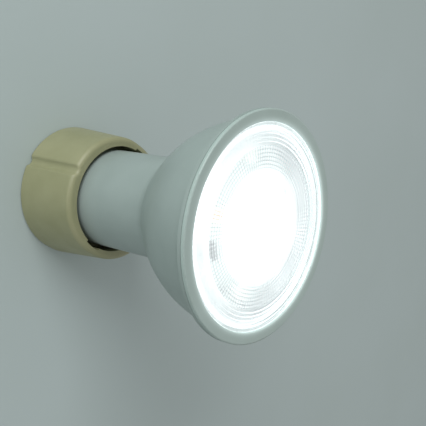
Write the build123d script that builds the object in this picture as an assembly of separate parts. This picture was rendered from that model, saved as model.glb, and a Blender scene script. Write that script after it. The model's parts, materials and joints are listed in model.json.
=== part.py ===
"""Smart spot bulb with a twist-lock two-pin cap, locked in its lampholder.

Millimetres. +Z runs from the flat back of the holder to the lens, and the origin is the centre of that
back. The two pins lie along X, and the finger grooves of the holder are at -Y and +Y. The bulb unlocks by
turning anticlockwise about Z, seen from the lens.
"""
import os
from math import cos, hypot, radians, sin, sqrt, tan

from build123d import *

# Cap and holder, along the axis
cover_thickness = 2.0          # plate that closes the back of the holder
contact_rise = 1.2             # top of the contact leaves above the cover
contact_gap = 0.3              # pin tip above the contact leaf
pin_head_height = 2.6
pin_head_gap = 0.3             # pin head below the keyhole floor
keyhole_floor = 3.6            # thickness of the floor that the pins hook behind
seat_gap = 0.3                 # cap end above the keyhole floor
socket_depth = 7.0             # keyhole floor to the front rim of the holder

# Cap and holder, across the axis
pin_spacing = 10.0
pin_head_diameter = 5.0
pin_neck_diameter = 3.0
twist_angle = 35.0             # degrees from locked to free
slot_clearance = 0.2           # pin neck to the side of its slot
entry_clearance = 0.25         # pin head to the edge of its entry hole
head_clearance = 0.4           # pin head to the walls of its chamber
socket_clearance = 1.0         # neck of the bulb to the socket wall
key_depth = 0.5                # recesses for a key in the socket wall
key_width = 4.6
key_angle = -5.0               # degrees
collar_wall = 1.35             # at the rim, behind a key recess
collar_stretch = 0.7           # the collar is longer than wide by twice this
collar_draft = 3.8             # degrees
rim_round = 1.3
rim_land = 0.1                 # flat of the rim inside its rounding
back_round = 0.6
finger_groove_depth = 0.75
finger_groove_radius = 1.5
finger_groove_soft_edge = 0.8
cover_step = 0.75              # cover edge inside the key recesses
cover_gap = 0.1
chamber_land = 0.6             # cover edge to the chamber wall
chamber_round = 1.2
wire_hole_diameter = 2.6
wire_hole_angle = 27.0         # degrees
wire_hole_edge = 1.2           # wire hole to the chamber wall
fixing_hole_diameter = 3.2
fixing_hole_edge = 4.0         # fixing hole centre inside the key recesses
fixing_head_diameter = 6.0
fixing_head_depth = 2.2
cover_screw_diameter = 1.9
cover_screw_head_diameter = 3.8
cover_screw_head_height = 1.0
cover_screw_sink = 0.1         # screw head below the back face
cover_screw_length = 4.0       # grip in the holder body
cover_screw_edge = 2.55        # screw centre inside the cover edge
cover_screw_angle = -45.0      # degrees
screw_slot_width = 0.5
screw_slot_depth = 0.45
screw_clearance = 0.05
contact_thickness = 0.4
contact_width = 4.0
contact_end_gap = 0.5          # contact foot to the chamber wall
contact_ramp = 1.0             # length of the bend between the leaf and the foot
contact_overlap = 2.4          # leaf past the pin axis, outwards
rivet_diameter = 1.6
rivet_head_diameter = 2.6
rivet_head_height = 0.5

# Shell of the bulb
lamp_diameter = 50.0
neck_diameter = 24.0
neck_draft = 0.1               # radius lost between the bowl and the cap end
neck_length = 27.2             # cap end to the foot of the bowl
bowl_length = 22.4             # foot of the bowl to the back of the front lip
bowl_crown = 2.6               # how far the bowl bulges from a straight cone
bowl_foot_round = 4.0
flange_overhang = 1.85         # front lip beyond the bowl
shell_wall = 1.6
cap_wall = 2.0
cap_edge_round = 0.7
lip_floor = 0.3                # shell below the lens flange
bezel_height = 0.9
bezel_width = 2.7
bezel_round = 0.35
bezel_seam = 0.12              # chamfer that makes the seam line

# Lens
lens_gap = 0.1
lens_recess = 0.35             # lens below the face of the bezel
lens_flange_width = 1.1
lens_flange_thickness = 0.5
lens_thickness = 1.6
lens_skirt_wall = 1.4
lens_skirt_depth = 1.3         # skirt below the lens flange
lens_land = 0.5                # plain edge outside the rings
lens_ring_pitch = 0.86
lens_ring_depth = 0.25
lens_ring_count = 5
lens_ring_step = 0.15          # width of the steep side of a ring
lens_belt_depth = 0.15         # smooth belt below the lens face
lens_eye_diameter = 22.0
lens_eye_crown = 0.3           # rise of the clear eye above the belt

# Heat sink and LED board
cup_gap = 0.1
cup_wall = 1.2
cup_floor = 1.5
pad_thickness = 0.3
led_board_thickness = 1.5
led_board_gap = 0.5            # board edge to the cup wall
led_depth = 3.9                # LED board below the lens skirt
led_width = 2.8
led_length = 3.5
led_height = 0.7
led_window_width = 2.2
led_window_depth = 0.1
led_ring_gap = 0.4
cool_ring_radius = 5.8
cool_count = 6
cool_start_angle = 30.0        # degrees
warm_count = 3
warm_start_angle = -76.0       # degrees
board_screw_diameter = 2.4
board_screw_head_diameter = 4.4
board_screw_head_height = 1.3
board_screw_edge = 3.6         # screw centre inside the board edge
board_screw_angle = 29.0       # degrees
board_screw_tip = 0.8          # screw end below the cup floor
radio_width = 4.0
radio_thickness = 0.8
radio_radius = 12.8
radio_angle = -42.0            # degrees
radio_lens_gap = 0.9           # aerial tip below the lens skirt
radio_drop = 7.0               # board end below the cup floor
radio_slot_gap = 0.25
shield_width = 3.4
shield_height = 5.0
shield_thickness = 1.5
shield_rise = 0.8              # shield above the lower end of its board
shield_round = 0.3

# Driver
driver_thickness = 1.2
driver_offset = 2.0            # driver board behind the axis
driver_foot = 2.2              # driver board above the cap wall
driver_head_room = 8.2         # driver board below the cup floor
driver_edge_gap = 0.3
rail_width = 1.0
rail_grip = 0.8
rail_gap = 0.1
rail_length = 22.0
part_gap = 0.5                 # between neighbours on the driver board
mount_gap = 0.1                # between a component and its board
wire_radius = 0.3              # component legs
wire_bend = 0.5
leg_room = 1.2                 # room for the bent legs of a capacitor
pin_fit = 0.05
pin_collar_diameter = 4.4
pin_collar_height = 0.8
pin_tail_diameter = 1.8
pin_tail_length = 1.2
pin_head_round = 0.6
lead_radius = 0.45
lead_bend = 0.7
lead_rise = 1.6                # lead joint above the foot of the driver board
fuse_diameter = 2.2
fuse_length = 6.0
fuse_round = 0.45
fuse_leg = 0.8
input_cap_diameter = 6.3
input_cap_length = 9.5
input_cap_side = 0.8           # capacitor to the middle of the board
output_cap_diameter = 5.0
output_cap_length = 8.0
cap_groove = 0.25
cap_groove_width = 0.6
cap_groove_rise = 1.2          # groove above the foot of the can
cap_leg_spread = 2.0
film_cap_width = 5.6
film_cap_height = 5.0
film_cap_depth = 3.4
film_cap_round = 0.5
core_width = 6.4
core_height = 8.0
core_depth = 3.4
core_leg = 2.0
core_yoke = 1.5
core_side_leg = 0.8
core_side = 0.4                # core to the middle of the board
coil_bulge = 1.2               # coil beyond the core
coil_gap = 0.1
chip_width = 3.9
chip_length = 4.9
chip_height = 1.45
bridge_width = 4.7
bridge_length = 3.8
bridge_height = 1.5
bridge_leg_inset = 0.75        # bridge leg to the end of its package
chip_legs_a_side = 4
chip_leg_pitch = 1.27
chip_leg_length = 0.9
chip_leg_width = 0.45
chip_leg_thickness = 0.2
chip_leg_height = 0.7          # middle of the package, where the legs leave it
chip_edge = 0.15
header_pins_count = 4
header_pitch = 2.54
header_size = 2.5
header_pin_radius = 0.35
header_pin_tail = 0.8          # pin past its block and past the LED board
header_hole_gap = 0.15
header_slot_gap = 1.6          # pins to the metal of the cup
header_top_gap = 0.2           # header block below the top of the driver board

# Modelling allowances
cut_margin = 1.0               # how far a cutter runs past the face it cuts
edge_tolerance = 0.01          # for finding an edge by its place

# Levels that follow from the sizes above
contact_top = cover_thickness + contact_rise
pin_tip = contact_top + contact_gap
pin_head_top = pin_tip + pin_head_height
floor_bottom = pin_head_top + pin_head_gap
floor_top = floor_bottom + keyhole_floor
cap_end = floor_top + seat_gap
rim = floor_top + socket_depth
cap_inside = cap_end + cap_wall
bowl_foot = cap_end + neck_length
lip_back = bowl_foot + bowl_length
lens_seat = lip_back + lip_floor
lip_front = lens_seat + lens_flange_thickness
front = lip_front + bezel_height
lens_face = front - lens_recess
lens_back = lens_face - lens_thickness
skirt_end = lens_seat - lens_skirt_depth
led_face = skirt_end - led_depth
led_underside = led_face - led_board_thickness
cup_floor_top = led_underside - pad_thickness
cup_floor_bottom = cup_floor_top - cup_floor
cup_rim = skirt_end - lens_gap
driver_bottom = cap_inside + driver_foot
driver_top = cup_floor_bottom - driver_head_room

# Radii that follow from the sizes above
pin_circle = pin_spacing / 2
head_radius = pin_head_diameter / 2
neck_radius = neck_diameter / 2
neck_bore = neck_radius - neck_draft - shell_wall
lip_radius = lamp_diameter / 2
bowl_front = lip_radius - flange_overhang
lens_radius = lip_radius - bezel_width - lens_gap
lens_flange = lens_radius + lens_flange_width
socket_radius = neck_radius + socket_clearance
key_radius = socket_radius + key_depth
cover_radius = key_radius - cover_step
chamber_radius = cover_radius - chamber_land
fixing_ring = key_radius - fixing_hole_edge
cover_screw_ring = cover_radius - cover_screw_edge
warm_ring_radius = cool_ring_radius + led_length + led_ring_gap

# The bowl is one arc from the neck to the lip, and its inner skins are concentric with it
bowl_rise = bowl_front - neck_radius
bowl_chord = hypot(bowl_rise, bowl_length)
bowl_radius = (bowl_chord**2 / 4 + bowl_crown**2) / (2 * bowl_crown)
bowl_out = (bowl_length / bowl_chord, -bowl_rise / bowl_chord)
bowl_centre_r = (neck_radius + bowl_front) / 2 + (bowl_crown - bowl_radius) * bowl_out[0]
bowl_centre_z = (bowl_foot + lip_back) / 2 + (bowl_crown - bowl_radius) * bowl_out[1]

# Faces of the driver board, which stands parallel to XZ
driver_front = -driver_offset + driver_thickness / 2
driver_rear = -driver_offset - driver_thickness / 2
driver_half = sqrt(neck_bore**2 - driver_rear**2) - driver_edge_gap

# Stacks of components up the driver board
lead_height = driver_bottom + lead_rise
fuse_height = lead_height + lead_radius + part_gap + fuse_diameter / 2
front_row = fuse_height + fuse_diameter / 2 + part_gap
film_cap_bottom = front_row + core_height + part_gap
bridge_bottom = driver_bottom + lead_rise
chip_bottom = bridge_bottom + bridge_length + part_gap
output_cap_bottom = chip_bottom + chip_length + part_gap + leg_room
header_top = driver_top - header_top_gap
header_line = driver_front + mount_gap + header_size / 2

UPWARDS = (Align.CENTER, Align.CENTER, Align.MIN)


def bowl_skin(height, depth):
    """Radius of the skin that lies `depth` inside the bowl's outer face, at a height."""
    return bowl_centre_r + sqrt((bowl_radius - depth) ** 2 - (height - bowl_centre_z) ** 2)


def bowl_skin_height(radius, depth):
    """Height at which the skin `depth` inside the bowl's outer face has a radius."""
    return bowl_centre_z - sqrt((bowl_radius - depth) ** 2 - (radius - bowl_centre_r) ** 2)


def bowl_arc(low, high, depth):
    """Arc of such a skin between two heights, as an edge in radius and height."""
    middle = (low + high) / 2
    points = [(bowl_skin(height, depth), height) for height in (low, middle, high)]
    return ThreePointArc(*points)


def polar(radius, angle):
    """Point at a radius and an angle in degrees."""
    return radius * cos(radians(angle)), radius * sin(radians(angle))


def turned(*edges):
    """Solid of revolution about Z from a closed outline in radius and height."""
    outline = [edge for piece in edges for edge in piece.edges()]
    return revolve(Plane.XZ * make_face(outline), axis=Axis.Z)


def rod(radius, low, high, place=(0, 0)):
    """Upright cylinder between two heights."""
    return Pos(place[0], place[1], low) * Cylinder(radius, high - low, align=UPWARDS)


def block(x, y, z):
    """Box between pairs of limits."""
    middle = [(low + high) / 2 for low, high in (x, y, z)]
    return Pos(*middle) * Box(x[1] - x[0], y[1] - y[0], z[1] - z[0])


def bent_wire(points, radius, bend):
    """Round wire along straight runs with rounded corners."""
    path = FilletPolyline(*points, radius=bend)
    section = Plane(origin=path @ 0, z_dir=path % 0) * Circle(radius)
    return sweep(section, path=path)


def half_turn(shape):
    """The same shape turned half a turn about Z."""
    return Rot(0, 0, 180) * shape


def circle_edge(shape, height, radius):
    """Round edges of a shape about Z that lie at a height and have a radius."""
    rings = shape.edges().filter_by(GeomType.CIRCLE)
    rings = [e for e in rings if abs(e.center().Z - height) < edge_tolerance]
    return [e for e in rings if abs(e.radius - radius) < edge_tolerance]


# Lampholder
def make_holder_body():
    flare = rim * tan(radians(collar_draft))
    back_end = key_radius + collar_wall + flare
    outline = Rot(0, 0, 90) * SlotCenterToCenter(2 * collar_stretch, 2 * back_end)
    body = extrude(outline, amount=rim, taper=collar_draft)
    body = fillet(body.faces().sort_by(Axis.Z)[-1].edges(), min(rim_round, collar_wall - rim_land))
    body = fillet(body.faces().sort_by(Axis.Z)[0].edges(), back_round)
    groove_place = back_end + collar_stretch + finger_groove_radius - finger_groove_depth
    groove = Cylinder(finger_groove_radius, 2 * (rim + cut_margin))
    for side in (-1, 1):
        body -= Pos(0, side * groove_place) * Rot(side * collar_draft, 0, 0) * groove
    groove_edges = [e for e in body.edges() if edge_tolerance < abs(e.center().X) < finger_groove_radius]
    body = fillet(groove_edges, finger_groove_soft_edge)

    keys = Rectangle(2 * key_radius, key_width) & Circle(key_radius)
    opening = Circle(socket_radius) + Rot(0, 0, key_angle) * keys
    socket = Pos(0, 0, floor_top) * extrude(opening, amount=socket_depth + cut_margin)
    cover_bed = rod(cover_radius + cover_gap, -cut_margin, cover_thickness)
    body -= [socket, cover_bed]

    keyhole = Sketch() + SlotArc(
        CenterArc((0, 0), pin_circle, 0, twist_angle), pin_neck_diameter + 2 * slot_clearance
    )
    keyhole += Pos(*polar(pin_circle, twist_angle)) * Circle(head_radius + entry_clearance)
    keyhole = Pos(0, 0, floor_bottom - cut_margin) * extrude(keyhole, amount=keyhole_floor + 2 * cut_margin)
    chamber = make_chamber()
    body -= [keyhole, half_turn(keyhole), chamber, half_turn(chamber)]

    for side in (-1, 1):
        place = (0, side * fixing_ring)
        body -= rod(fixing_hole_diameter / 2, 0, rim, place)
        body -= rod(fixing_head_diameter / 2, floor_top - fixing_head_depth, rim, place)
    for angle in (cover_screw_angle, cover_screw_angle + 180):
        place = polar(cover_screw_ring, angle)
        pilot = cover_screw_diameter / 2 + screw_clearance
        body -= rod(pilot, 0, cover_thickness + cover_screw_length + screw_clearance, place)
    return body


def make_chamber():
    """Room for one contact and the sweep of its pin head, above the cover."""
    reach = head_radius + head_clearance
    far_x, far_y = polar(pin_circle, twist_angle)
    inner = far_x - reach
    width = chamber_radius - inner
    length = far_y + 2 * reach
    room = Pos(inner + width / 2, far_y / 2) * RectangleRounded(width, length, chamber_round)
    room = room & Circle(chamber_radius)
    depth = floor_bottom - cover_thickness + cut_margin
    return Pos(0, 0, cover_thickness - cut_margin) * extrude(room, amount=depth)


def contact_foot():
    """Inner and outer end of the contact's foot, along X."""
    inner = pin_circle + contact_overlap + contact_ramp
    return inner, chamber_radius - contact_end_gap


def make_holder_cover():
    cover = rod(cover_radius, 0, cover_thickness)
    wire_place = polar(chamber_radius - wire_hole_edge - wire_hole_diameter / 2, wire_hole_angle)
    wire_hole = rod(wire_hole_diameter / 2, -cut_margin, cover_thickness + cut_margin, wire_place)
    rivet_place = (sum(contact_foot()) / 2, 0)
    rivet_hole = rod(
        rivet_diameter / 2 + screw_clearance, -cut_margin, cover_thickness + cut_margin, rivet_place
    )
    cover -= [wire_hole, half_turn(wire_hole), rivet_hole, half_turn(rivet_hole)]
    for side in (-1, 1):
        place = (0, side * fixing_ring)
        cover -= rod(fixing_hole_diameter / 2, -cut_margin, cover_thickness + cut_margin, place)
    screw_room = cover_screw_room()
    return cover - [screw_room, half_turn(screw_room)]


def cover_screw_form(spare):
    """Countersunk screw about Z, grown by some spare all round."""
    shank = cover_screw_diameter / 2 + spare
    head = cover_screw_head_diameter / 2 + spare
    neck = cover_screw_sink + cover_screw_head_height
    tip = cover_thickness + cover_screw_length
    outline = Polyline(
        (0, cover_screw_sink), (head, cover_screw_sink), (shank, neck), (shank, tip), (0, tip), close=True
    )
    return turned(outline)


def make_cover_screw():
    half = screw_slot_width / 2
    reach = cover_screw_head_diameter
    slot_bottom = cover_screw_sink + screw_slot_depth
    slot = block((-reach, reach), (-half, half), (cover_screw_sink - cut_margin, slot_bottom))
    return Pos(*polar(cover_screw_ring, cover_screw_angle)) * (cover_screw_form(0) - slot)


def cover_screw_room():
    """What the cover leaves free for one of its screws."""
    mouth = rod(cover_screw_head_diameter / 2 + screw_clearance, -cut_margin, cover_screw_sink)
    return Pos(*polar(cover_screw_ring, cover_screw_angle)) * (cover_screw_form(screw_clearance) + mouth)


def make_contact():
    """Spring leaf that lies under a pin and steps down to a foot on the cover."""
    inner, outer = contact_foot()
    leaf_end = pin_circle - head_radius
    ramp_start = pin_circle + contact_overlap
    low = contact_top - contact_thickness
    foot_top = cover_thickness + contact_thickness
    outline = Polyline(
        (leaf_end, low), (ramp_start, low), (inner, cover_thickness), (outer, cover_thickness),
        (outer, foot_top), (inner + contact_thickness / 2, foot_top),
        (ramp_start + contact_thickness / 2, contact_top), (leaf_end, contact_top), close=True,
    )
    strip = extrude(Plane.XZ * make_face(outline.edges()), amount=contact_width / 2, both=True)
    hole = rod(rivet_diameter / 2 + screw_clearance, 0, rim, ((inner + outer) / 2, 0))
    return strip - hole


def make_rivet():
    foot_top = cover_thickness + contact_thickness
    place = (sum(contact_foot()) / 2, 0)
    shank = rod(rivet_diameter / 2, cover_screw_sink, foot_top, place)
    head = rod(rivet_head_diameter / 2, foot_top, foot_top + rivet_head_height, place)
    head = fillet(head.edges().sort_by(Axis.Z)[-1], rivet_head_height / 2)
    return shank + head


# Shell of the bulb
def make_housing():
    foot_inside = bowl_skin_height(neck_bore, shell_wall)
    neck_low = neck_radius - neck_draft
    seat_radius = lens_flange + lens_gap
    inner_arc = bowl_arc(foot_inside, lens_seat, shell_wall)
    shell = turned(
        Polyline(
            (neck_radius, bowl_foot), (neck_low, cap_end), (0, cap_end), (0, cap_inside),
            (neck_bore, cap_inside),
        ),
        Polyline((neck_bore, cap_inside), inner_arc @ 0),
        inner_arc,
        Polyline(
            inner_arc @ 1, (seat_radius, lens_seat), (seat_radius, lip_front), (lip_radius, lip_front),
            (lip_radius, lip_back), (bowl_front, lip_back),
        ),
        bowl_arc(bowl_foot, lip_back, 0),
    )
    shell = fillet(circle_edge(shell, bowl_foot, neck_radius), bowl_foot_round)
    shell = fillet(circle_edge(shell, cap_end, neck_low), cap_edge_round)
    return shell + make_rails() - [pin_hole(-1), pin_hole(1)]


def pin_hole(side):
    low, high = cap_end - cut_margin, cap_inside + cut_margin
    return rod(pin_neck_diameter / 2 + pin_fit, low, high, (side * pin_circle, 0))


def make_rails():
    """Two pairs of ribs in the neck that hold the edges of the driver board."""
    inner = driver_half - rail_grip
    outer = neck_bore + shell_wall / 2
    height = (cap_inside - cap_wall / 2, cap_inside + rail_length)
    rails = Part()
    for side in (-1, 1):
        limits = sorted((side * inner, side * outer))
        for low in (driver_front + rail_gap, driver_rear - rail_gap - rail_width):
            rails += block(limits, (low, low + rail_width), height)
    return rails & rod(outer, cap_end, lip_back)


def make_front_bezel():
    inner = lip_radius - bezel_width
    bezel = rod(lip_radius, lip_front, front) - rod(inner, lip_front - cut_margin, front + cut_margin)
    bezel = chamfer(circle_edge(bezel, lip_front, lip_radius), bezel_seam)
    return fillet(circle_edge(bezel, front, lip_radius) + circle_edge(bezel, front, inner), bezel_round)


# Lens
def make_lens():
    skirt = min(bowl_skin(skirt_end, shell_wall), bowl_skin(lens_seat, shell_wall)) - lens_gap
    skirt_inside = skirt - lens_skirt_wall
    belt = lens_face - lens_belt_depth
    eye_radius = lens_eye_diameter / 2
    points = [
        (eye_radius, belt), (ring_inner_radius(), belt), (ring_inner_radius(), lens_face),
    ]
    for ring in reversed(range(lens_ring_count)):
        outer = lens_radius - lens_land - ring * lens_ring_pitch
        points.append((outer - lens_ring_step, lens_face - lens_ring_depth))
        points.append((outer, lens_face))
    points += [
        (lens_radius, lens_face), (lens_radius, lip_front), (lens_flange, lip_front),
        (lens_flange, lens_seat), (skirt, lens_seat), (skirt, skirt_end), (skirt_inside, skirt_end),
        (skirt_inside, lens_back), (0, lens_back), (0, belt + lens_eye_crown),
    ]
    eye_middle = (eye_radius / 2, belt + lens_eye_crown * (1 - 1 / 2**2))
    eye = ThreePointArc((0, belt + lens_eye_crown), eye_middle, (eye_radius, belt))
    return turned(Polyline(*points), eye)


def ring_inner_radius():
    return lens_radius - lens_land - lens_ring_count * lens_ring_pitch


# Heat sink and LED board
def make_heat_sink_cup():
    outer_depth = shell_wall + cup_gap
    inner_depth = outer_depth + cup_wall
    outer = bowl_arc(cup_floor_bottom, cup_rim, outer_depth)
    inner = bowl_arc(cup_floor_top, cup_rim, inner_depth)
    cup = turned(
        Polyline((0, cup_floor_top), (0, cup_floor_bottom), outer @ 0),
        outer,
        Polyline(outer @ 1, inner @ 1),
        inner,
        Polyline(inner @ 0, (0, cup_floor_top)),
    )
    for angle in (board_screw_angle, board_screw_angle + 180):
        pilot = board_screw_diameter / 2 + screw_clearance
        cup -= rod(pilot, cup_floor_bottom - cut_margin, led_face, polar(board_screw_ring(), angle))
    return cup - board_slots(cup_floor_bottom - cut_margin, cup_floor_top + cut_margin)


def led_board_radius():
    return bowl_skin(cup_floor_top, shell_wall + cup_gap + cup_wall) - led_board_gap


def board_screw_ring():
    return led_board_radius() - board_screw_edge


def board_slots(low, high):
    """Slots for the radio board and for the header pins, between two heights."""
    half_length = (header_pins_count - 1) * header_pitch / 2 + header_pin_radius + header_slot_gap
    half_width = header_pin_radius + header_slot_gap
    header_slot = block(
        (-half_length, half_length), (header_line - half_width, header_line + half_width), (low, high)
    )
    return [header_slot, radio_slot(low, high)]


def radio_slot(low, high):
    half_length = radio_width / 2 + radio_slot_gap
    half_width = radio_thickness / 2 + radio_slot_gap
    across = (radio_radius - half_width, radio_radius + half_width)
    slot = block(across, (-half_length, half_length), (low, high))
    return Rot(0, 0, radio_angle) * slot


def make_thermal_pad():
    pad = rod(led_board_radius(), cup_floor_top, led_underside)
    pad -= board_slots(cup_floor_top - cut_margin, led_underside + cut_margin)
    for angle in (board_screw_angle, board_screw_angle + 180):
        hole = board_screw_diameter / 2 + screw_clearance
        pad -= rod(hole, cup_floor_bottom, led_face, polar(board_screw_ring(), angle))
    return pad


def make_led_board():
    low, high = led_underside - cut_margin, led_face + cut_margin
    board = rod(led_board_radius(), led_underside, led_face) - radio_slot(low, high)
    for angle in (board_screw_angle, board_screw_angle + 180):
        hole = board_screw_diameter / 2 + screw_clearance
        board -= rod(hole, low, high, polar(board_screw_ring(), angle))
    for x in header_places():
        hole = header_pin_radius + header_hole_gap
        board -= rod(hole, low, high, (x, header_line))
    return board


def make_leds(count, radius, start_angle):
    """Ring of surface-mounted LEDs, each with a sunk phosphor window."""
    half_length, half_width = led_length / 2, led_width / 2
    top = led_face + led_height
    led = block((-half_length, half_length), (-half_width, half_width), (led_face, top))
    led -= rod(led_window_width / 2, top - led_window_depth, top + cut_margin)
    return Part() + [Rot(0, 0, start_angle + 360 * i / count) * Pos(radius, 0) * led for i in range(count)]


def make_board_screw():
    head_top = led_face + board_screw_head_height
    place = polar(board_screw_ring(), board_screw_angle)
    head = rod(board_screw_head_diameter / 2, led_face, head_top)
    head = fillet(head.edges().sort_by(Axis.Z)[-1], board_screw_head_height / 2)
    half = screw_slot_width / 2
    reach = board_screw_head_diameter
    head -= block((-reach, reach), (-half, half), (head_top - screw_slot_depth, head_top + cut_margin))
    shank = rod(board_screw_diameter / 2, cup_floor_bottom - board_screw_tip, led_face)
    return Pos(*place) * (head + shank)


def make_radio_board():
    low = cup_floor_bottom - radio_drop
    high = skirt_end - radio_lens_gap
    half_thickness, half_width = radio_thickness / 2, radio_width / 2
    across = (radio_radius - half_thickness, radio_radius + half_thickness)
    board = block(across, (-half_width, half_width), (low, high))
    return Rot(0, 0, radio_angle) * board


def make_radio_shield():
    low = cup_floor_bottom - radio_drop + shield_rise
    outer = radio_radius - radio_thickness / 2
    half = shield_width / 2
    can = block((outer - shield_thickness, outer), (-half, half), (low, low + shield_height))
    can = fillet(can.faces().sort_by(Axis.X)[0].edges(), shield_round)
    return Rot(0, 0, radio_angle) * can


# Driver
def make_driver_board():
    return block((-driver_half, driver_half), (driver_rear, driver_front), (driver_bottom, driver_top))


def make_pin(side):
    """Mushroom pin, held in the cap wall by a collar inside it."""
    neck = pin_neck_diameter / 2
    collar_top = cap_inside + pin_collar_height
    outline = Polyline(
        (0, pin_tip), (head_radius, pin_tip), (head_radius, pin_head_top), (neck, pin_head_top),
        (neck, cap_inside), (pin_collar_diameter / 2, cap_inside), (pin_collar_diameter / 2, collar_top),
        (pin_tail_diameter / 2, collar_top), (pin_tail_diameter / 2, collar_top + pin_tail_length),
        (0, collar_top + pin_tail_length), close=True,
    )
    pin = turned(outline)
    rims = circle_edge(pin, pin_tip, head_radius) + circle_edge(pin, pin_head_top, head_radius)
    return Pos(side * pin_circle, 0) * fillet(rims, pin_head_round)


def make_lead(side):
    """Wire from the tail of a pin to the face of the driver board."""
    x = side * pin_circle
    tail_top = cap_inside + pin_collar_height + pin_tail_length
    points = [(x, 0, tail_top), (x, 0, lead_height), (x, driver_front, lead_height)]
    return bent_wire(points, lead_radius, lead_bend)


def make_fuse_resistor():
    y = driver_front + mount_gap + fuse_diameter / 2
    barrel = Pos(0, y, fuse_height) * Rot(0, 90, 0) * Cylinder(fuse_diameter / 2, fuse_length)
    fuse = fillet(barrel.edges().filter_by(GeomType.CIRCLE), fuse_round)
    for side in (-1, 1):
        end = side * fuse_length / 2
        knee = end + side * fuse_leg
        points = [(end, y, fuse_height), (knee, y, fuse_height), (knee, driver_front, fuse_height)]
        fuse += bent_wire(points, wire_radius, wire_bend)
    return fuse


def make_can_capacitor(diameter, length, x, low, face, side):
    """Upright can beside a face of the driver board, with two legs bent to that face."""
    radius = diameter / 2
    y = face + side * (mount_gap + radius)
    groove_low = low + cap_groove_rise
    groove_high = groove_low + cap_groove_width
    outline = Polyline(
        (0, low), (radius, low), (radius, groove_low), (radius - cap_groove, (groove_low + groove_high) / 2),
        (radius, groove_high), (radius, low + length), (0, low + length), close=True,
    )
    can = turned(outline)
    can = Pos(x, y) * fillet(circle_edge(can, low + length, radius), cap_groove)
    for leg in (-1, 1):
        leg_x = x + leg * cap_leg_spread / 2
        knee = low - leg_room + wire_radius
        points = [(leg_x, y, low), (leg_x, y, knee), (leg_x, face, knee)]
        can += bent_wire(points, wire_radius, wire_bend)
    return can


def make_film_capacitor():
    low = driver_front + mount_gap
    middle = core_side + core_width / 2
    half = film_cap_width / 2
    body = block(
        (middle - half, middle + half), (low, low + film_cap_depth),
        (film_cap_bottom, film_cap_bottom + film_cap_height),
    )
    return fillet(body.edges(), film_cap_round)


def core_middle():
    """Middle of the transformer, in X, Y and Z."""
    y = driver_front + mount_gap + coil_bulge + core_depth / 2
    return core_side + core_width / 2, y, front_row + core_height / 2


def make_transformer_core():
    core = Box(core_width, core_depth, core_height)
    window = (core_width - core_leg) / 2 - core_side_leg
    for side in (-1, 1):
        place = side * (core_leg + window) / 2
        core -= Pos(place, 0, 0) * Box(window, core_depth + cut_margin, core_height - 2 * core_yoke)
    return Pos(*core_middle()) * core


def make_transformer_coil():
    width = core_width - 2 * core_side_leg - 2 * coil_gap
    height = core_height - 2 * core_yoke - 2 * coil_gap
    depth = core_depth + 2 * coil_bulge
    coil = Box(width, depth, height)
    coil = fillet(coil.edges().filter_by(Axis.Z), min(coil_bulge, width / 3))
    coil -= Box(core_leg + 2 * coil_gap, core_depth + 2 * coil_gap, height + cut_margin)
    return Pos(*core_middle()) * coil


def make_chip(width, length, height, low, leg_places):
    """Surface-mounted package on the rear of the driver board, with flat legs at both sides."""
    body = block((-width / 2, width / 2), (-height, -mount_gap), (0, length))
    chip = chamfer(body.faces().sort_by(Axis.Y)[0].edges(), chip_edge)
    reach = width / 2 + chip_leg_length
    leg_low, leg_high = -chip_leg_height, -chip_leg_height + chip_leg_thickness
    for place in leg_places:
        along = (place - chip_leg_width / 2, place + chip_leg_width / 2)
        chip += block((-reach, reach), (leg_low, leg_high), along)
        for side in (-1, 1):
            foot = sorted((side * (reach - chip_leg_thickness), side * reach))
            chip += block(foot, (leg_low, 0), along)
    return Pos(0, driver_rear, low) * chip


def header_places():
    """X of each header pin."""
    first = -(header_pins_count - 1) * header_pitch / 2
    return [first + i * header_pitch for i in range(header_pins_count)]


def make_header_block():
    half = header_pins_count * header_pitch / 2
    half_size = header_size / 2
    across = (header_line - half_size, header_line + half_size)
    body = block((-half, half), across, (header_top - header_size, header_top))
    for x in header_places():
        hole = header_pin_radius + screw_clearance
        body -= rod(hole, header_top - header_size - cut_margin, header_top + cut_margin, (x, header_line))
    return body


def make_header_pins():
    low = header_top - header_size - header_pin_tail
    high = led_face + header_pin_tail
    return Part() + [rod(header_pin_radius, low, high, (x, header_line)) for x in header_places()]


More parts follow.
